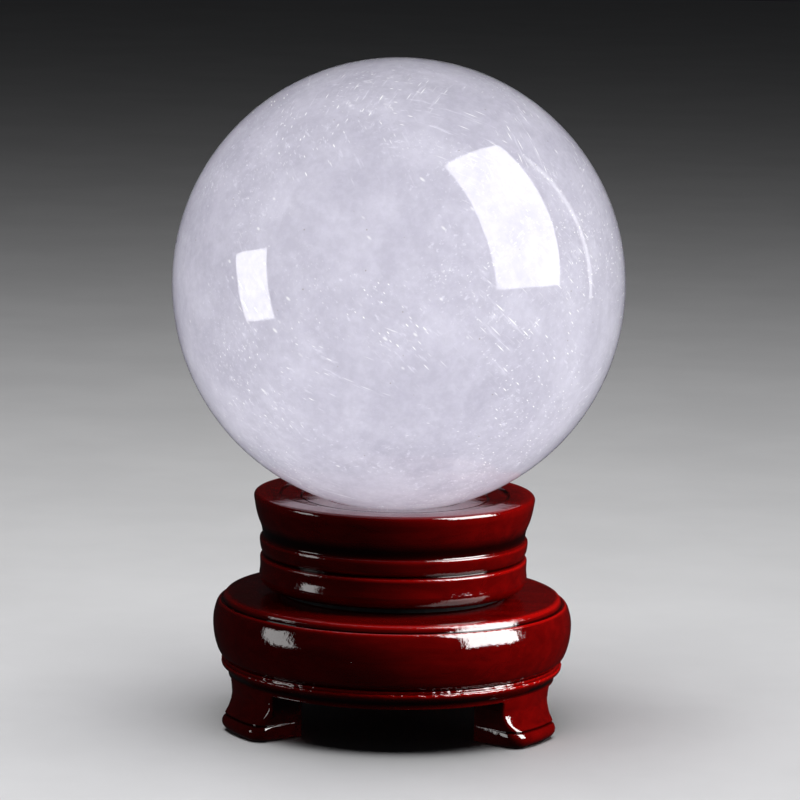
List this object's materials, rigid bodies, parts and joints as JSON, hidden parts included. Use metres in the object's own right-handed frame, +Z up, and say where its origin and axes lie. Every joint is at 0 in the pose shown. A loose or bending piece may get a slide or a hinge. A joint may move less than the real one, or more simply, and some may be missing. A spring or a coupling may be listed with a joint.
{
  "type": "crystal ball",
  "caption": "Milky quartz crystal ball resting in the dished collar of a turned, red-lacquered wooden stand whose upper tier turns on a bullnosed base with sawn feet.",
  "frame": {"origin": "centre of the plane that the feet stand on, on the axis of the turned stand", "axes": "+Z up along the axis of the ball and the stand; -Y is the front, midway between the two front feet; +X is to the viewer's right"},
  "size_m": [0.12, 0.12, 0.1778],
  "materials": {
    "quartz": "milky quartz, polished, nearly opaque",
    "lacquer": "thick gloss red lacquer over turned wood",
    "beech": "raw beech",
    "zinc": "zinc-plated pressed steel",
    "bearing_steel": "polished",
    "brass": "pressed, satin"
  },
  "bodies": {
    "base": {"base_disc": "lacquer", "foot_ring": "lacquer", "leg_front_left": "lacquer", "leg_front_right": "lacquer", "leg_back": "lacquer", "leg_dowel_1": "beech", "leg_dowel_2": "beech", "leg_dowel_3": "beech", "leg_dowel_4": "beech", "leg_dowel_5": "beech", "leg_dowel_6": "beech", "lower_race_plate": "zinc", "lower_race_screw_1": "zinc", "lower_race_screw_2": "zinc", "lower_race_screw_3": "zinc", "lower_race_screw_4": "zinc", "pivot_eyelet": "brass"},
    "collar": {"seat_collar": "lacquer", "upper_race_plate": "zinc", "upper_race_screw_1": "zinc", "upper_race_screw_2": "zinc", "upper_race_screw_3": "zinc", "upper_race_screw_4": "zinc"},
    "cage": {"ball_cage": "brass", "bearing_ball_01": "bearing_steel", "bearing_ball_02": "bearing_steel", "bearing_ball_03": "bearing_steel", "bearing_ball_04": "bearing_steel", "bearing_ball_05": "bearing_steel", "bearing_ball_06": "bearing_steel", "bearing_ball_07": "bearing_steel", "bearing_ball_08": "bearing_steel", "bearing_ball_09": "bearing_steel", "bearing_ball_10": "bearing_steel", "bearing_ball_11": "bearing_steel", "bearing_ball_12": "bearing_steel"},
    "ball": {"crystal_ball": "quartz"}
  },
  "joints": [
    {"name": "turntable_spin", "type": "hinge", "parent": "base", "child": "collar", "pos_m": [0, 0, 0.037], "axis": [0, 0, 1], "continuous": true},
    {"name": "cage_spin", "type": "hinge", "parent": "base", "child": "cage", "pos_m": [0, 0, 0.0388], "axis": [0, 0, 1], "continuous": true},
    {"name": "ball_lift", "type": "slide", "parent": "collar", "child": "ball", "axis": [0, 0, 1], "range_m": [0, 0.06]}
  ],
  "couplings": [
    {"joint": "cage_spin", "follows": "turntable_spin", "ratio": 0.5}
  ]
}
